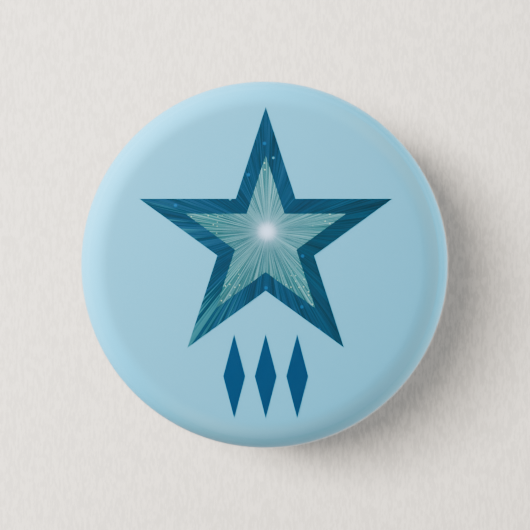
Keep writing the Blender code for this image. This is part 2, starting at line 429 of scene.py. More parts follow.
def dome_height(x, y, depth):
    radius = DOME_RADIUS - depth
    return APEX_HEIGHT - DOME_RADIUS + math.sqrt(radius**2 - x**2 - y**2)


def ink_patch(name, outline, centre, depth, rings):
    """A thin layer of ink inside an outline round a centre, following the dome."""
    corners = len(outline)
    layers = []
    work = bmesh.new()
    for layer_depth in (depth, depth + INK_THICKNESS):
        rows = []
        middle = work.verts.new((*centre, dome_height(*centre, layer_depth)))
        for ring in range(1, rings + 1):
            row = []
            for corner in outline:
                x, y = centre + (corner - centre) * ring / rings
                row.append(work.verts.new((x, y, dome_height(x, y, layer_depth))))
            rows.append(row)
        layers.append((middle, rows))
    for middle, rows in layers:
        for i in range(corners):
            j = (i + 1) % corners
            work.faces.new((middle, rows[0][i], rows[0][j]))
            for inner, outer in zip(rows, rows[1:]):
                work.faces.new((inner[i], outer[i], outer[j], inner[j]))
    top, bottom = layers[0][1][-1], layers[1][1][-1]
    for i in range(corners):
        j = (i + 1) % corners
        work.faces.new((top[i], bottom[i], bottom[j], top[j]))
    mesh = bpy.data.meshes.new(name)
    work.to_mesh(mesh)
    work.free()
    return smooth(settle(add_piece(name, mesh)), INK_SHARP)


def divided(corners, steps):
    """An outline with each side cut into equal steps."""
    points = []
    for here, there in zip(corners, corners[1:] + corners[:1]):
        for i in range(steps):
            points.append(here.lerp(there, i / steps))
    return points


def star_corners(radius):
    corners = []
    for i in range(2 * STAR_POINTS):
        reach = radius if i % 2 == 0 else radius * STAR_NOTCH
        angle = math.pi / 2 + math.pi * i / STAR_POINTS
        corners.append(STAR_CENTRE + Vector((math.cos(angle), math.sin(angle))) * reach)
    return corners


def make_star(name, radius, depth):
    outline = divided(star_corners(radius), STAR_SIDE_STEPS)
    return ink_patch(name, outline, STAR_CENTRE, depth, STAR_RINGS)


def make_lozenge(name, column):
    middle = LOZENGE_MIDDLE + Vector((LOZENGE_PITCH * column, 0.0))
    half = LOZENGE_SIZE / 2
    corners = [
        middle + Vector((0.0, half.y)),
        middle + Vector((-half.x, 0.0)),
        middle + Vector((0.0, -half.y)),
        middle + Vector((half.x, 0.0)),
    ]
    outline = divided(corners, LOZENGE_SIDE_STEPS)
    return ink_patch(name, outline, middle, INK_DEPTH, LOZENGE_RINGS)


# ---------------------------------------------------------------- materials

# Colours, scene linear
PALE_BLUE = (0.050, 0.300, 0.460)
PALE_BLUE_DEEPER = (0.054, 0.290, 0.440)
# Painted light on the paper's rounded rim: greyer painted shading on the shoulder, a lighter
# painted highlight band on the turned edge, a clearer painted highlight tone at the upper left and
# duller painted shade at the bottom
PAINTED_SHOULDER_SHADE_BLUE = (0.092, 0.345, 0.475)
PAINTED_LOW_SHOULDER_SHADE_BLUE = (0.108, 0.358, 0.495)
PAINTED_EDGE_HIGHLIGHT_BLUE = (0.025, 0.380, 0.580)
PAINTED_LOW_EDGE_SHADE_BLUE = (0.085, 0.330, 0.445)
PAINTED_UPPER_LEFT_HIGHLIGHT_BLUE = (0.0005, 0.335, 0.550)
STAR_DEEP = (0.004, 0.025, 0.056)
STAR_BRIGHT = (0.006, 0.046, 0.098)
STAR_TEAL = (0.003, 0.026, 0.042)
STAR_STREAK = (0.014, 0.105, 0.130)
STAR_SHADE = (0.002, 0.014, 0.024)
STAR_SPECK = (0.003, 0.080, 0.220)
STAR_SPECK_LIGHT = (0.06, 0.30, 0.42)
BURST_GREY = (0.056, 0.180, 0.218)
BURST_TEAL = (0.010, 0.140, 0.155)
BURST_DEEP = (0.014, 0.082, 0.100)
BURST_LIGHT = (0.130, 0.300, 0.325)
BURST_SHADE = (0.008, 0.045, 0.055)
BURST_SPECK = (0.30, 0.52, 0.36)
BURST_HALO = (0.130, 0.270, 0.340)
BURST_GLOW = (0.52, 0.60, 0.84)
LOZENGE_BLUE = (0.0002, 0.0265, 0.075)
LOZENGE_BLUE_LIGHT = (0.0004, 0.0285, 0.080)
TINPLATE = (0.47, 0.47, 0.465)
SHELL_TINPLATE = (0.60, 0.60, 0.595)
BRIGHT_SHARE = 1.15  # of the metal's colour, along the rolling lines
DULL_SHARE = 0.72  # and in the blotches
WIRE_BRIGHT = (0.78, 0.77, 0.75)
WIRE_DULL = (0.50, 0.49, 0.47)
GRAIN_TINT = (0.90, 0.95, 0.97)

# Painted shading on the print's shoulder and a painted highlight band on its turned edge: how far
# out they start and are full, in mm
PAINTED_SHOULDER_SHADE_SPAN = (24.0, 26.2)
PAINTED_EDGE_HIGHLIGHT_SPAN = (26.8, 27.05)

# Sides with a tone of their own: the way they lie from the middle, and the cosine of the angle
# from it at which the tone starts and is full. The first two, where the paper's rim gets painted
# highlight and painted shade, are in the badge's own X, Y and Z; the others, print tones, lie
# across and up the print.
PAINTED_HIGHLIGHT_SIDE = ((-0.87, 0.0, 0.5), -0.3, 0.5)
PAINTED_SHADE_SIDE = ((0.26, 0.0, -0.97), 0.3, 0.9)
TEAL_SIDE = ((0.95, -0.3, 0.0), 0.55, 1.0)
STREAKED_SIDE = ((-0.87, -0.5, 0.0), 0.5, 0.95)
DIM_SIDE = ((-0.8, -0.6, 0.0), -0.3, 0.6)

# Noise patterns: cells per millimetre along each axis are scale times stretch
PAPER_GRAIN = {"scale": 9.0, "detail": 2.0, "roughness": 0.6}
PAPER_DRIFT = {"scale": 0.035, "detail": 1.0}
PAPER_FIBRE = {"scale": 5.0, "stretch": (1.0, 1.0, 0.45), "detail": 4.0, "roughness": 0.6}
LOZENGE_GRAIN = {"scale": 8.0}
FILM_WAVE = {"scale": 0.35, "detail": 1.0}
FILM_SMEAR = {"scale": 0.6, "stretch": (0.5, 1.0, 2.0), "detail": 3.0}
ROLLING_LINES = {"scale": 1.6, "stretch": (0.25, 1.0, 9.0), "detail": 4.0, "roughness": 0.6}
BLOTCHES = {"scale": 0.22, "detail": 3.0, "roughness": 0.55}
SCRATCHES = {"scale": 0.7, "stretch": (14.0, 3.0, 0.5)}
DRAWING_LINES = {"scale": 0.8, "stretch": (0.6, 14.0, 14.0)}
HANDLING_MARKS = {"scale": 1.4, "detail": 4.0, "roughness": 0.65}
CARD_GRAIN = {"scale": 1.25, "stretch": (1.0, 1.0, 0.28), "roughness": 0.6}

# Creases of the rear curl: scale is cells for each radian round the axis
CREASES = {"scale": 30.0, "detail": 3.0, "roughness": 0.6}

# Rays: cells for each radian round the burst, and for each millimetre outwards
RAY_NOISE = {"scale": 1.0, "detail": 3.0, "roughness": 0.6}
STAR_RAYS = (9.0, 0.015)
STAR_LINES = (27.0, 0.025)
STAR_FINE_LINES = (66.0, 0.05)
BURST_BANDS = (2.2, 0.02)
BURST_RAYS = (12.0, 0.02)
BURST_LINES = (34.0, 0.03)
BURST_FINE_LINES = (66.0, 0.07)

# Millimetres from the burst's middle: none of it at the first, all of it at the second, then the
# shares at the two if not 0 and 1
STREAKS_START = (8.0, 15.0)
BURST_TEAL_START = (3.5, 9.0)
GLINTS_START = (6.0, 9.5)
HALO_END = (3.7, 0.5, 0.0, 0.75)
GLOW_END = (1.9, 0.1)

# Bands: the noise at which a tone starts and is full, then its shares there if not 0 and 1
DRIFT_BAND = (0.35, 0.65)
GRAIN_BAND = (0.3, 0.7)
FAINT_GRAIN_BAND = (0.3, 0.7, 0.0, 0.03)
STAR_TEAL_SHARE = 0.6  # at the middle of the teal side
STAR_BRIGHT_BAND = (0.3, 0.72)
STAR_STREAK_BAND = (0.46, 0.66)
STAR_SHADE_BAND = (0.5, 0.72, 0.0, 0.7)
BURST_TEAL_BAND = (0.42, 0.56, 0.4, 1.0)
BURST_DEEP_BAND = (0.4, 0.66, 0.0, 0.35)
BURST_LIGHT_BAND = (0.5, 0.64, 0.0, 0.75)
BURST_SHADE_BAND = (0.5, 0.68, 0.0, 0.6)
RAY_SHORTENING = (0.35, 0.7, 0.85, 1.25)  # makes the glow reach unevenly along the rays
DIMMING = (0.0, 1.0, 1.0, 0.8)  # of the inner star, towards its dim side
METAL_DULL_BAND = (0.35, 0.7, 0.0, 0.35)
METAL_BRIGHT_BAND = (0.35, 0.65, 0.0, 0.25)
SCRATCH_BAND = (0.66, 0.72)
WIRE_DULL_BAND = (0.4, 0.75, 0.0, 0.4)
WIRE_ROUGHNESS_BAND = (0.3, 0.75, 0.12, 0.3)
FILM_ROUGHNESS_BAND = (0.3, 0.7, 0.03, 0.07)

# Thin dark lines: the level of the rays' noise at which they lie, half their width in its terms,
# and how strongly they show
STAR_CUTS = (0.5, 0.05)
STAR_CUTS_SHARE = 0.8
BURST_CUTS = (0.43, 0.07)
BURST_CUTS_SHARE = 0.95
LINE_CORE = 0.25  # share of a thin line's width, or of a speck's, that is at full strength
SPECK_CORE = 0.4

# Specks: cells per millimetre, size in mm, share of the cells that have one
STAR_DOTS = (0.36, 0.7, 0.22)
STAR_DOTS_SHARE = 0.65
STAR_LIGHTS = (0.45, 0.5, 0.03)
STAR_LIGHTS_SHARE = 0.6
STAR_LIGHTS_SHIFT = (5.3, 1.7, 0.0)
BURST_DOTS = (1.5, 0.24, 0.3)

# Surfaces
FILM_IOR = 1.5
FILM_MIRROR_LIMIT = 0.2
PRINT_ROUGHNESS = 0.55
PRINT_SPECULAR = 0.1
CURL_START = (-2.0, -0.5)  # mm from the rear plane: no creases here, full ones there
PLEAT_DEPTH = 0.3  # mm, of the bump
FILM_WAVE_DEPTH = 0.05  # of the pleats' depth
FIBRE_DEPTH = 0.04
METAL_RELIEF = 0.004  # mm
ROLLED_ROUGHNESS = 0.12  # how much the roughness varies with the lines and the blotches
BLOTCH_ROUGHNESS = 0.14
SCRATCH_DEPTH = 0.4  # of the metal's relief
WIRE_RELIEF = 0.003
MARK_HEIGHT = 0.5  # of the wire's relief
SHELL_ROUGHNESS = 0.35
PLATE_ROUGHNESS = 0.28


class Surface:
    """A material's node tree, put together by short calls that return output sockets."""

    def __init__(self, name):
        self.material = bpy.data.materials.new(name)
        self.material.use_nodes = True
        self.tree = self.material.node_tree
        self.shader = self.tree.nodes["Principled BSDF"]
        self.output = self.tree.nodes["Material Output"]

    def node(self, kind, **settings):
        made = self.tree.nodes.new(kind)
        for key, value in settings.items():
            setattr(made, key, value)
        return made

    def feed(self, socket, value):
        if isinstance(value, bpy.types.NodeSocket):
            self.tree.links.new(value, socket)
        elif value is not None:
            socket.default_value = value

    def set(self, **values):
        """Principled inputs by name, with underscores for spaces."""
        for key, value in values.items():
            self.feed(self.shader.inputs[key.replace("_", " ")], value)

    def maths(self, operation, first, second=None, third=None):
        made = self.node("ShaderNodeMath", operation=operation)
        for socket, value in zip(made.inputs, (first, second, third)):
            self.feed(socket, value)
        return made.outputs[0]

    def vector(self, operation, first, second=None, scale=None):
        made = self.node("ShaderNodeVectorMath", operation=operation)
        self.feed(made.inputs[0], first)
        self.feed(made.inputs[1], second)
        if scale is not None:
            self.feed(made.inputs["Scale"], scale)
        return made.outputs["Value" if operation in ("LENGTH", "DOT_PRODUCT") else "Vector"]

    def place(self):
        """The point on the piece in millimetres."""
        coordinates = self.node("ShaderNodeTexCoord")
        return self.vector("SCALE", coordinates.outputs["Object"], scale=MATERIAL_UNIT)

    def print_plane(self, place):
        """The point across and up the print in millimetres, with nothing for its depth."""
        split = self.node("ShaderNodeSeparateXYZ")
        self.feed(split.inputs[0], place)
        return self.joined(split.outputs["X"], split.outputs["Z"], 0.0)

    def joined(self, x, y, z):
        made = self.node("ShaderNodeCombineXYZ")
        for socket, value in zip(made.inputs, (x, y, z)):
            self.feed(socket, value)
        return made.outputs[0]

    def stretch(self, vector, x, y, z):
        return self.vector("MULTIPLY", vector, (x, y, z))

    def noise(self, vector, scale, detail=2.0, roughness=0.5, stretch=None):
        if stretch is not None:
            vector = self.stretch(vector, *stretch)
        made = self.node("ShaderNodeTexNoise")
        self.feed(made.inputs["Vector"], vector)
        self.feed(made.inputs["Scale"], scale)
        self.feed(made.inputs["Detail"], detail)
        self.feed(made.inputs["Roughness"], roughness)
        return made.outputs["Fac"]

    def cells(self, vector, scale):
        """A random cell pattern over the first two coordinates: the node, for its outputs."""
        made = self.node("ShaderNodeTexVoronoi", voronoi_dimensions="2D")
        self.feed(made.inputs["Vector"], vector)
        self.feed(made.inputs["Scale"], scale)
        return made

    def spread(self, value, low, high, to_low=0.0, to_high=1.0):
        """value from low to high, eased on to to_low to to_high, and held there outside."""
        made = self.node("ShaderNodeMapRange", interpolation_type="SMOOTHSTEP")
        self.feed(made.inputs["Value"], value)
        self.feed(made.inputs["From Min"], low)
        self.feed(made.inputs["From Max"], high)
        self.feed(made.inputs["To Min"], to_low)
        self.feed(made.inputs["To Max"], to_high)
        return made.outputs["Result"]

    def mix(self, share, first, second):
        """The first colour at a share of 0, the second at 1."""
        made = self.node("ShaderNodeMix", data_type="RGBA")
        self.feed(made.inputs["Factor"], share)
        colours = [s for s in made.inputs if s.type == "RGBA"]
        for socket, value in zip(colours, (first, second)):
            self.feed(socket, (*value, 1.0) if isinstance(value, tuple) else value)
        return next(s for s in made.outputs if s.type == "RGBA")

    def bump(self, height, distance):
        """A normal from a height of 0 to 1, whose full height is distance in millimetres."""
        made = self.node("ShaderNodeBump")
        self.feed(made.inputs["Height"], height)
        self.feed(made.inputs["Distance"], distance * MM)
        return made.outputs["Normal"]


def around(surface, place):
    """The direction round the badge's axis as a unit vector, for patterns that run radially."""
    flat = surface.stretch(place, 1.0, 0.0, 1.0)
    return surface.vector("NORMALIZE", flat)


def towards(surface, direction, way, low, high):
    """0 to 1 as a direction nears a given way."""
    return surface.spread(surface.vector("DOT_PRODUCT", direction, way), low, high)


def pleats(surface, place):
    """Small creases round the rear curl, where film and paper are gathered in as they turn."""
    creases = surface.noise(around(surface, place), **CREASES)
    depth = surface.node("ShaderNodeSeparateXYZ")
    surface.feed(depth.inputs[0], place)
    behind = surface.spread(depth.outputs["Y"], *CURL_START)
    return surface.maths("MULTIPLY", creases, behind)


def film_material():
    """Clear glossy film: its outer face mirrors by Fresnel, up to a limit, and the rest goes
    through unbent."""
    surface = Surface("clear_film")
    place = surface.place()
    wave = surface.noise(place, **FILM_WAVE)
    height = surface.maths("MULTIPLY_ADD", wave, FILM_WAVE_DEPTH, pleats(surface, place))
    normal = surface.bump(height, PLEAT_DEPTH)
    fresnel = surface.node("ShaderNodeFresnel")
    surface.feed(fresnel.inputs["IOR"], FILM_IOR)
    surface.feed(fresnel.inputs["Normal"], normal)
    geometry = surface.node("ShaderNodeNewGeometry")
    outside = surface.maths("SUBTRACT", 1.0, geometry.outputs["Backfacing"])
    limited = surface.maths("MINIMUM", fresnel.outputs[0], FILM_MIRROR_LIMIT)
    mirrored = surface.maths("MULTIPLY", limited, outside)
    smear = surface.noise(place, **FILM_SMEAR)
    gloss = surface.node("ShaderNodeBsdfGlossy")
    surface.feed(gloss.inputs["Roughness"], surface.spread(smear, *FILM_ROUGHNESS_BAND))
    surface.feed(gloss.inputs["Normal"], normal)
    clear = surface.node("ShaderNodeBsdfTransparent")
    joined = surface.node("ShaderNodeMixShader")
    surface.feed(joined.inputs[0], mirrored)
    surface.feed(joined.inputs[1], clear.outputs[0])
    surface.feed(joined.inputs[2], gloss.outputs[0])
    surface.feed(surface.output.inputs["Surface"], joined.outputs[0])
    surface.tree.nodes.remove(surface.shader)
    return surface.material


def paper_relief(surface, place):
    fibre = surface.noise(place, **PAPER_FIBRE)
    height = surface.maths("MULTIPLY_ADD", fibre, FIBRE_DEPTH, pleats(surface, place))
    return surface.bump(height, PLEAT_DEPTH)


def paper_material():
    """Coated paper printed pale blue: a fine print grain, a slight drift of tone, and painted
    light round
    the rim: painted shading on the shoulder and a painted highlight band on the turned edge, with
    a clearer painted highlight tone at the upper left and duller painted shade at the bottom."""
    surface = Surface("printed_paper")
    place = surface.place()
    grain = surface.noise(place, **PAPER_GRAIN)
    drift = surface.noise(place, **PAPER_DRIFT)
    ink = surface.mix(surface.spread(drift, *DRIFT_BAND), PALE_BLUE, PALE_BLUE_DEEPER)
    out = surface.vector("LENGTH", surface.print_plane(place))
    direction = around(surface, place)
    # Painted light round the rim: these tones stand in for the key light at the upper left and for
    # shade at the bottom
    highlight_side = towards(surface, direction, *PAINTED_HIGHLIGHT_SIDE)
    bottom = towards(surface, direction, *PAINTED_SHADE_SIDE)
    shoulder = surface.mix(bottom, PAINTED_SHOULDER_SHADE_BLUE, PAINTED_LOW_SHOULDER_SHADE_BLUE)
    edge = surface.mix(bottom, PAINTED_EDGE_HIGHLIGHT_BLUE, PAINTED_LOW_EDGE_SHADE_BLUE)
    shoulder = surface.mix(highlight_side, shoulder, PAINTED_UPPER_LEFT_HIGHLIGHT_BLUE)
    edge = surface.mix(highlight_side, edge, PAINTED_UPPER_LEFT_HIGHLIGHT_BLUE)
    # Painted shading over the shoulder, then the painted highlight band on the turned edge
    with_shoulder_shade = surface.mix(surface.spread(out, *PAINTED_SHOULDER_SHADE_SPAN), ink, shoulder)
    with_edge_highlight = surface.mix(surface.spread(out, *PAINTED_EDGE_HIGHLIGHT_SPAN), with_shoulder_shade, edge)
    colour = surface.mix(surface.spread(grain, *FAINT_GRAIN_BAND), with_edge_highlight, GRAIN_TINT)
    return print_finish(surface, place, colour)


def burst(surface, flat):
    """Distance from the burst's middle, and the direction from it."""
    away = surface.vector("SUBTRACT", flat, (*(BURST_CENTRE * MATERIAL_UNIT), 0.0))
    return surface.vector("LENGTH", away), surface.vector("NORMALIZE", away)


def streaks(surface, distance, direction, count, drift):
    """Straight rays from the burst: noise that changes fast with direction, slowly outwards."""
    split = surface.node("ShaderNodeSeparateXYZ")
    surface.feed(split.inputs[0], surface.vector("SCALE", direction, scale=count))
    outwards = surface.maths("MULTIPLY", distance, drift)
    point = surface.joined(split.outputs["X"], split.outputs["Y"], outwards)
    return surface.noise(point, **RAY_NOISE)


def thin_lines(surface, rays, level, width):
    """Narrow lines where the rays' noise crosses a level."""
    off = surface.maths("ABSOLUTE", surface.maths("SUBTRACT", rays, level))
    return surface.spread(off, width, width * LINE_CORE)


def specks(surface, place, scale, size, share):
    """Round specks, size across in millimetres, in some of the cells of a random pattern."""
    made = surface.cells(place, scale)
    reach = scale * size / 2
    dot = surface.spread(made.outputs["Distance"], reach, reach * SPECK_CORE)
    pick = surface.node("ShaderNodeSeparateColor")
    surface.feed(pick.inputs[0], made.outputs["Color"])
    chosen = surface.maths("LESS_THAN", pick.outputs[0], share)
    return surface.maths("MULTIPLY", dot, chosen)


def print_finish(surface, place, colour):
    """The sheen under the film: what glosses is the film, so the ink itself barely does."""
    surface.set(Base_Color=colour, Roughness=PRINT_ROUGHNESS, Specular_IOR_Level=PRINT_SPECULAR)
    surface.set(Normal=paper_relief(surface, place))
    return surface.material


def outer_star_material():
    """Deep teal blue ink with rays from the burst, lighter to the left, and bright specks."""
    surface = Surface("star_ink_deep")
    place = surface.place()
    flat = surface.print_plane(place)
    distance, direction = burst(surface, flat)
    rays = streaks(surface, distance, direction, *STAR_RAYS)
    lines = streaks(surface, distance, direction, *STAR_LINES)
    fine = streaks(surface, distance, direction, *STAR_FINE_LINES)
    deep = surface.mix(surface.spread(rays, *STAR_BRIGHT_BAND), STAR_DEEP, STAR_BRIGHT)
    teal = towards(surface, direction, *TEAL_SIDE)
    tinted = surface.mix(surface.maths("MULTIPLY", teal, STAR_TEAL_SHARE), deep, STAR_TEAL)
    left = towards(surface, direction, *STREAKED_SIDE)
    far = surface.spread(distance, *STREAKS_START)
    lighter = surface.maths("MULTIPLY", surface.spread(lines, *STAR_STREAK_BAND), left)
    lighter = surface.maths("MULTIPLY", lighter, far)
    streaked = surface.mix(lighter, tinted, STAR_STREAK)
    ruled = surface.mix(surface.spread(fine, *STAR_SHADE_BAND), streaked, STAR_SHADE)
    cut = surface.maths("MULTIPLY", thin_lines(surface, lines, *STAR_CUTS), STAR_CUTS_SHARE)
    ruled = surface.mix(cut, ruled, STAR_SHADE)
    dots = specks(surface, flat, *STAR_DOTS)
    dusted = surface.mix(surface.maths("MULTIPLY", dots, STAR_DOTS_SHARE), ruled, STAR_SPECK)
    lights = specks(surface, surface.vector("ADD", flat, STAR_LIGHTS_SHIFT), *STAR_LIGHTS)
    lights = surface.maths("MULTIPLY", lights, STAR_LIGHTS_SHARE)
    colour = surface.mix(lights, dusted, STAR_SPECK_LIGHT)
    return print_finish(surface, place, colour)


def inner_star_material():
    """Grey teal rays round a pale glow, with glints towards the points."""
    surface = Surface("star_ink_burst")
    place = surface.place()
    flat = surface.print_plane(place)
    distance, direction = burst(surface, flat)
    broad = streaks(surface, distance, direction, *BURST_BANDS)
    rays = streaks(surface, distance, direction, *BURST_RAYS)
    lines = streaks(surface, distance, direction, *BURST_LINES)
    fine = streaks(surface, distance, direction, *BURST_FINE_LINES)
    far = surface.spread(distance, *BURST_TEAL_START)
    tealness = surface.maths("MULTIPLY", surface.spread(broad, *BURST_TEAL_BAND), far)
    base = surface.mix(tealness, BURST_GREY, BURST_TEAL)
    banded = surface.mix(surface.spread(rays, *BURST_DEEP_BAND), base, BURST_DEEP)
    lit = surface.mix(surface.spread(fine, *BURST_LIGHT_BAND), banded, BURST_LIGHT)
    shaded = surface.mix(surface.spread(lines, *BURST_SHADE_BAND), lit, BURST_SHADE)
    cut = surface.maths("MULTIPLY", thin_lines(surface, fine, *BURST_CUTS), BURST_CUTS_SHARE)
    shaded = surface.mix(cut, shaded, BURST_SHADE)
    dots = specks(surface, flat, *BURST_DOTS)
    glint = surface.maths("MULTIPLY", dots, surface.spread(distance, *GLINTS_START))
    dusted = surface.mix(glint, shaded, BURST_SPECK)
    reach = surface.maths("MULTIPLY", distance, surface.spread(lines, *RAY_SHORTENING))
    lower_left = towards(surface, direction, *DIM_SIDE)
    dimmed = surface.vector("SCALE", dusted, scale=surface.spread(lower_left, *DIMMING))
    halo = surface.mix(surface.spread(reach, *HALO_END), dimmed, BURST_HALO)
    colour = surface.mix(surface.spread(reach, *GLOW_END), halo, BURST_GLOW)
    return print_finish(surface, place, colour)


def lozenge_material():
    """The deep blue of the print, laid on evenly, with a faint print grain."""
    surface = Surface("lozenge_ink")
    place = surface.place()
    grain = surface.noise(place, **LOZENGE_GRAIN)
    colour = surface.mix(surface.spread(grain, *GRAIN_BAND), LOZENGE_BLUE, LOZENGE_BLUE_LIGHT)
    return print_finish(surface, place, colour)


def tinplate_material(name, colour, roughness):
    """Rolled tinplate: fine lines along the rolling, soft blotches and a few scratches."""
    surface = Surface(name)
    place = surface.place()
    rolled = surface.noise(place, **ROLLING_LINES)
    blotch = surface.noise(place, **BLOTCHES)
    scratch = surface.noise(place, **SCRATCHES)
    scratched = surface.spread(scratch, *SCRATCH_BAND)
    darker = tuple(DULL_SHARE * c for c in colour)
    lighter = tuple(BRIGHT_SHARE * c for c in colour)
    dull = surface.mix(surface.spread(blotch, *METAL_DULL_BAND), colour, darker)
    tone = surface.mix(surface.spread(rolled, *METAL_BRIGHT_BAND), dull, lighter)
    smoothest = roughness - ROLLED_ROUGHNESS / 2
    rough = surface.maths("MULTIPLY_ADD", rolled, ROLLED_ROUGHNESS, smoothest)
    rough = surface.maths("MULTIPLY_ADD", blotch, BLOTCH_ROUGHNESS, rough)
    height = surface.maths("MULTIPLY_ADD", scratched, -SCRATCH_DEPTH, rolled)
    surface.set(Base_Color=tone, Metallic=1.0, Roughness=rough)
    surface.set(Normal=surface.bump(height, METAL_RELIEF))
    return surface.material


def wire_material():
    """Bright plated spring wire with faint drawing lines and handling marks."""
    surface = Surface("plated_wire")
    place = surface.place()
    drawn = surface.noise(place, **DRAWING_LINES)
    marks = surface.noise(place, **HANDLING_MARKS)
    tone = surface.mix(surface.spread(marks, *WIRE_DULL_BAND), WIRE_BRIGHT, WIRE_DULL)
    rough = surface.spread(marks, *WIRE_ROUGHNESS_BAND)
    height = surface.maths("MULTIPLY_ADD", marks, MARK_HEIGHT, drawn)
    surface.set(Base_Color=tone, Metallic=1.0, Roughness=rough)
    surface.set(Normal=surface.bump(height, WIRE_RELIEF))
    return surface.material


# ---------------------------------------------------------------- the badge


def give(piece, material, slot, *replaced):
    """Gives a piece its material and hides the CAD nodes that it stands in for; slot is not used.
    """
    piece.data.materials.clear()
    piece.data.materials.append(material)
    if replaced:
        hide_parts(*replaced)


def make_badge():
    film_section = face_section(0.0, FILM_THICKNESS, LIP_END)
    film = smooth(settle(turned("film", film_section, FACE_TURN_STEPS)))
    paper_section = face_section(PAPER_DEPTH, PAPER_THICKNESS, PAPER_LIP_END)
    paper = smooth(settle(turned("paper", paper_section, FACE_TURN_STEPS)))
    shell_section = face_section(SHELL_DEPTH, SHELL_THICKNESS, LIP_END)
    shell = smooth(settle(turned("shell_metal", shell_section, SHELL_TURN_STEPS)))
    plate = make_back_plate()
    give(film, film_material(), "clear_film", "clear_film")
    give(paper, paper_material(), "printed_paper", "printed_paper")
    shell_metal = tinplate_material("shell_tinplate", SHELL_TINPLATE, SHELL_ROUGHNESS)
    plate_metal = tinplate_material("plate_tinplate", TINPLATE, PLATE_ROUGHNESS)
    give(shell, shell_metal, "shell_tinplate", "shell")
    give(plate, plate_metal, "plate_tinplate", "back_plate")

    outer = make_star("star_outer", STAR_RADIUS, INK_DEPTH)
    inner = make_star("star_inner", INNER_STAR_RADIUS, TOP_INK_DEPTH)
    give(outer, outer_star_material(), "printed_paper")
    give(inner, inner_star_material(), "printed_paper")
    lozenge_ink = lozenge_material()
    lozenges = [make_lozenge(f"lozenge_{i + 2}", i) for i in (-1, 0, 1)]
    for lozenge in lozenges:
        give(lozenge, lozenge_ink, "printed_paper")

    bow = make_bow_wire()
    needle = make_needle_wire()
    plated = wire_material()
    give(bow, plated, "plated_wire", "pin_bow")
    give(needle, plated, "plated_wire", "pin_needle")
    fixed = [film, paper, shell, plate, outer, inner, *lozenges, bow]
    for piece in fixed:
        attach(piece, "badge")
    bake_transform(needle)
    return [*fixed, needle], [plate, bow, needle]


# ---------------------------------------------------------------- stage, light and camera

LENS = 300.0
SENSOR = 36.0
VIEW_WIDTH = 82.2 * MM  # what the camera takes in at the rim
VIEW_MIDDLE = Vector((0.1, -0.06)) * MM
CAMERA_DISTANCE = VIEW_WIDTH * LENS / SENSOR
CAMERA_CLIP = (0.05, 50.0)
WALL_DISTANCE = 0.85
WALL_HEIGHT = 3.0
FLOOR_HEIGHT = -0.25
FLOOR_FRONT = -3.0
STAGE_HALF_WIDTH = 3.0
WING_FRONT = -0.7
WING_HEIGHT = 1.6

# The wall lamp stands beside the lens. Its distance from the lens sets how far the shadow on the
# wall shows from behind the badge, and its size how soft that shadow is.
WALL_LAMP_DISTANCE = 0.728
WALL_LAMP_OFFSET = 0.0230
WALL_LAMP_ANGLE = math.radians(158)
WALL_LAMP_LENGTH = 0.034
WALL_LAMP_WIDTH = 0.0138
WALL_LAMP_POWER = 84.0
WALL_FILL_PLACE = (0.0, -1.0, 1.8)
WALL_FILL_SIZE = (1.5, 1.5)
WALL_FILL_POWER = 10.0

WHITE = (1.0, 1.0, 1.0)
WARM = (1.0, 0.89, 0.78)
COOL = (0.72, 1.0, 1.0)

# The badge's own lamps: angle round the badge from its right, angle from its axis, power in watts
BADGE_LAMPS = {
    "key": (150, 65, 30.0, COOL),
    "key_behind": (150, 95, 29.0, COOL),
    "rim": (12, 114, 17.0, WHITE),
}
BADGE_LAMP_DISTANCE = 0.8
BADGE_LAMP_SIZE = 0.5
BACK_LAMP_PLACE = (-0.30, 0.62, 0.42)
BACK_LAMP_SIZE = (0.5, 0.22)
BACK_LAMP_POWER = 9.0
FILL_PLACE = (0.0, -1.2, 0.1)
FILL_POWER = 18.0
FLOOR_LAMP_PLACE = (0.0, -0.6, 2.2)
FLOOR_LAMP_SIZE = (2.0, 2.0)
FLOOR_LAMP_POWER = 170.0
WING_LAMP_REACH = 1.0  # from the middle, on the side away from the wing that it lights
WING_LAMP_HEIGHT = 0.6
WING_LAMP_POWER = 330.0
SOFT_SIZE = (1.0, 1.0)
CARD_DARK = (0.755, 0.750, 0.721)
CARD_LIGHT = (0.918, 0.903, 0.861)
CARD_CONTRAST = (0.41, 0.59)  # the grain's noise at the darkest and the lightest
# The card's painted shade, falling off along the drift
CARD_PAINTED_FALLOFF = (-0.5, 0.5, 0.94, 0.62)  # the drift's two ends, and the tone at each
CARD_ROUGHNESS = 0.9

# The room by depth, from 0 straight in front of the badge, where the camera is, to 1 straight
# behind it, and the colour at each
ROOM_TONES = (
    (0.04, (0.03, 0.03, 0.03)),
    (0.15, (0.24, 0.24, 0.24)),
    (0.485, (0.24, 0.24, 0.24)),
    (0.515, (0.40, 0.48, 0.52)),
)
WORLD_DIMMER = (-0.6, 0.5, 2.3, 3.3)  # height below and above, strength there
# Painted light falloff across the wall: it darkens this way
WALL_PAINTED_FALLOFF = (0.0033, 0.0, -0.0021)  # per millimetre, towards the lower right


def aim(thing, target):
    thing.rotation_euler = (Vector(target) - thing.location).to_track_quat("-Z", "Y").to_euler()


def make_camera():
    camera = bpy.data.objects.new("camera", bpy.data.cameras.new("camera"))
    bpy.context.scene.collection.objects.link(camera)
    camera.data.lens = LENS
    camera.data.sensor_width = SENSOR
    camera.data.clip_start, camera.data.clip_end = CAMERA_CLIP
    camera.location = (VIEW_MIDDLE.x, -edge_centre_height() - CAMERA_DISTANCE, VIEW_MIDDLE.y)
    aim(camera, (VIEW_MIDDLE.x, 0.0, VIEW_MIDDLE.y))
    bpy.context.scene.camera = camera


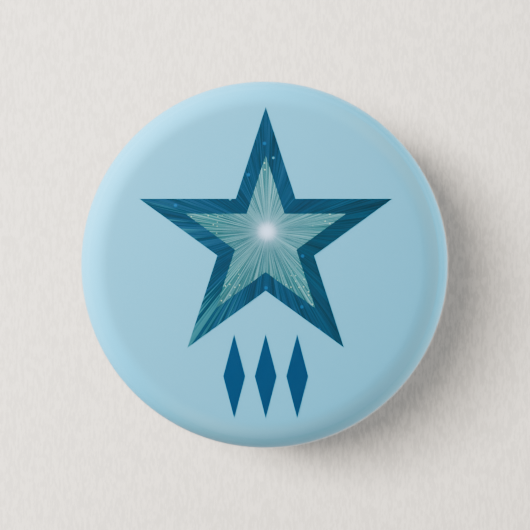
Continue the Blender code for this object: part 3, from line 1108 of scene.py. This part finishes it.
def card_material(name, drift):
    """Pale card with a fine vertical grain, and painted shade that lowers its tone along the
    drift, as light falling off across it would.
    """
    surface = Surface(name)
    place = surface.place()
    grain = surface.noise(place, **CARD_GRAIN)
    colour = surface.mix(surface.spread(grain, *CARD_CONTRAST), CARD_DARK, CARD_LIGHT)
    # Painted shade: the card darkens along the drift, standing in for light falling off across the
    # wall
    falloff_along = surface.vector("DOT_PRODUCT", place, drift)
    tone = surface.spread(falloff_along, *CARD_PAINTED_FALLOFF)
    surface.set(Base_Color=surface.vector("SCALE", colour, scale=tone))
    surface.set(Roughness=CARD_ROUGHNESS)
    return surface.material


def sheet(name, runs, material):
    """A flat or folded sheet: four corners for each part of it."""
    work = bmesh.new()
    for corners in runs:
        work.faces.new([work.verts.new(corner) for corner in corners])
    mesh = bpy.data.meshes.new(name)
    work.to_mesh(mesh)
    work.free()
    mesh.materials.append(material)
    piece = add_piece(name, mesh)
    return piece


def floor_run(left, right, front, back):
    return [(left, front, FLOOR_HEIGHT), (right, front, FLOOR_HEIGHT),
            (right, back, FLOOR_HEIGHT), (left, back, FLOOR_HEIGHT)]


def upright_run(left, right, height):
    """An upright sheet standing on the floor between two points of it."""
    return [(*left, FLOOR_HEIGHT), (*right, FLOOR_HEIGHT), (*right, height), (*left, height)]


def make_stage():
    """A back wall, a floor and two wings. The floor and wings neither light the badge nor show
    in its film, like a sheet that is only there to be seen behind it."""
    side = STAGE_HALF_WIDTH
    card = card_material("floor_card", (0.0, 0.0, 0.0))
    floor = sheet("stage_floor", [
        floor_run(-side, side, FLOOR_FRONT, WALL_DISTANCE),
    ], card)
    wings = sheet("stage_wings", [
        upright_run((-side, WING_FRONT), (-side, WALL_DISTANCE), WING_HEIGHT),
        upright_run((side, WALL_DISTANCE), (side, WING_FRONT), WING_HEIGHT),
    ], card)
    for backdrop in (floor, wings):
        backdrop.visible_diffuse = False
        backdrop.visible_glossy = False
    wall = sheet("stage_wall", [
        upright_run((-side, WALL_DISTANCE), (side, WALL_DISTANCE), WALL_HEIGHT),
    ], card_material("wall_card", WALL_PAINTED_FALLOFF))
    return floor, wings, wall


def soft_lamp(name, place, size, power, receivers, colour=WHITE):
    """An area light that lights only the receivers and isn't mirrored in them."""
    light = bpy.data.lights.new(name, "AREA")
    light.shape = "ELLIPSE"
    light.size, light.size_y = size
    light.energy = power
    light.color = colour
    lamp = bpy.data.objects.new(name, light)
    bpy.context.scene.collection.objects.link(lamp)
    lamp.location = place
    lamp.visible_camera = False
    lamp.visible_glossy = False
    lit = bpy.data.collections.new(name + "_lights")
    for receiver in receivers:
        lit.objects.link(receiver)
    lamp.light_linking.receiver_collection = lit
    return lamp


def badge_lamp(name, round_axis, from_axis, power, colour, badge):
    """A lamp aimed at the badge, set by its two angles in degrees."""
    out = BADGE_LAMP_DISTANCE * math.sin(math.radians(from_axis))
    place = (
        out * math.cos(math.radians(round_axis)),
        -BADGE_LAMP_DISTANCE * math.cos(math.radians(from_axis)),
        out * math.sin(math.radians(round_axis)),
    )
    lamp = soft_lamp(name, place, (BADGE_LAMP_SIZE, BADGE_LAMP_SIZE), power, badge, colour)
    aim(lamp, (0.0, 0.0, 0.0))


def make_lights(badge, back, floor, wings, wall):
    beside = WALL_LAMP_OFFSET * math.cos(WALL_LAMP_ANGLE)
    above = WALL_LAMP_OFFSET * math.sin(WALL_LAMP_ANGLE)
    place = (beside, -WALL_LAMP_DISTANCE, above)
    size = (WALL_LAMP_LENGTH, WALL_LAMP_WIDTH)
    wall_lamp = soft_lamp("wall_lamp", place, size, WALL_LAMP_POWER, [wall], WARM)
    wall_lamp.rotation_euler = (math.pi / 2, -WALL_LAMP_ANGLE, 0.0)
    bounce = soft_lamp("wall_fill", WALL_FILL_PLACE, WALL_FILL_SIZE, WALL_FILL_POWER, [wall], WARM)
    aim(bounce, (0.0, WALL_DISTANCE, 0.0))

    for name, settings in BADGE_LAMPS.items():
        badge_lamp(name, *settings, badge)
    fill = soft_lamp("fill", FILL_PLACE, SOFT_SIZE, FILL_POWER, badge)
    aim(fill, (0.0, 0.0, 0.0))

    behind = soft_lamp("back_key", BACK_LAMP_PLACE, BACK_LAMP_SIZE, BACK_LAMP_POWER, back)
    behind.visible_glossy = True
    aim(behind, (0.0, 0.0, 0.0))

    place = FLOOR_LAMP_PLACE
    overhead = soft_lamp("floor_lamp", place, FLOOR_LAMP_SIZE, FLOOR_LAMP_POWER, [floor], WARM)
    aim(overhead, (place[0], place[1], FLOOR_HEIGHT))
    for side in (-1, 1):
        place = (-side * WING_LAMP_REACH, 0.0, WING_LAMP_HEIGHT)
        across = soft_lamp("wing_lamp", place, SOFT_SIZE, WING_LAMP_POWER, [wings], WARM)
        aim(across, (side * STAGE_HALF_WIDTH, 0.0, 0.0))


def make_world():
    """The room round the stage: dark behind the camera, dim in front, bright behind the badge."""
    world = bpy.data.worlds.new("room")
    bpy.context.scene.world = world
    world.use_nodes = True
    nodes, links = world.node_tree.nodes, world.node_tree.links
    coordinates = nodes.new("ShaderNodeTexCoord")
    split = nodes.new("ShaderNodeSeparateXYZ")
    depth = nodes.new("ShaderNodeMapRange")
    depth.inputs["From Min"].default_value = -1.0
    ramp = nodes.new("ShaderNodeValToRGB").color_ramp
    ready = list(ramp.elements)  # a new ramp has two stops
    for i, (position, colour) in enumerate(ROOM_TONES):
        stop = ready[i] if i < len(ready) else ramp.elements.new(position)
        stop.position = position
        stop.color = (*colour, 1.0)
    dimmer = nodes.new("ShaderNodeMapRange")
    dimmer.interpolation_type = "SMOOTHSTEP"
    for name, value in zip(("From Min", "From Max", "To Min", "To Max"), WORLD_DIMMER):
        dimmer.inputs[name].default_value = value
    links.new(split.outputs["Z"], dimmer.inputs["Value"])
    links.new(dimmer.outputs["Result"], nodes["Background"].inputs["Strength"])
    links.new(coordinates.outputs["Generated"], split.inputs[0])
    links.new(split.outputs["Y"], depth.inputs["Value"])
    links.new(depth.outputs["Result"], nodes["Color Ramp"].inputs["Fac"])
    links.new(nodes["Color Ramp"].outputs["Color"], nodes["Background"].inputs["Color"])


badge_pieces, back_pieces = make_badge()
make_camera()
stage = make_stage()
make_lights(badge_pieces, back_pieces, *stage)
make_world()
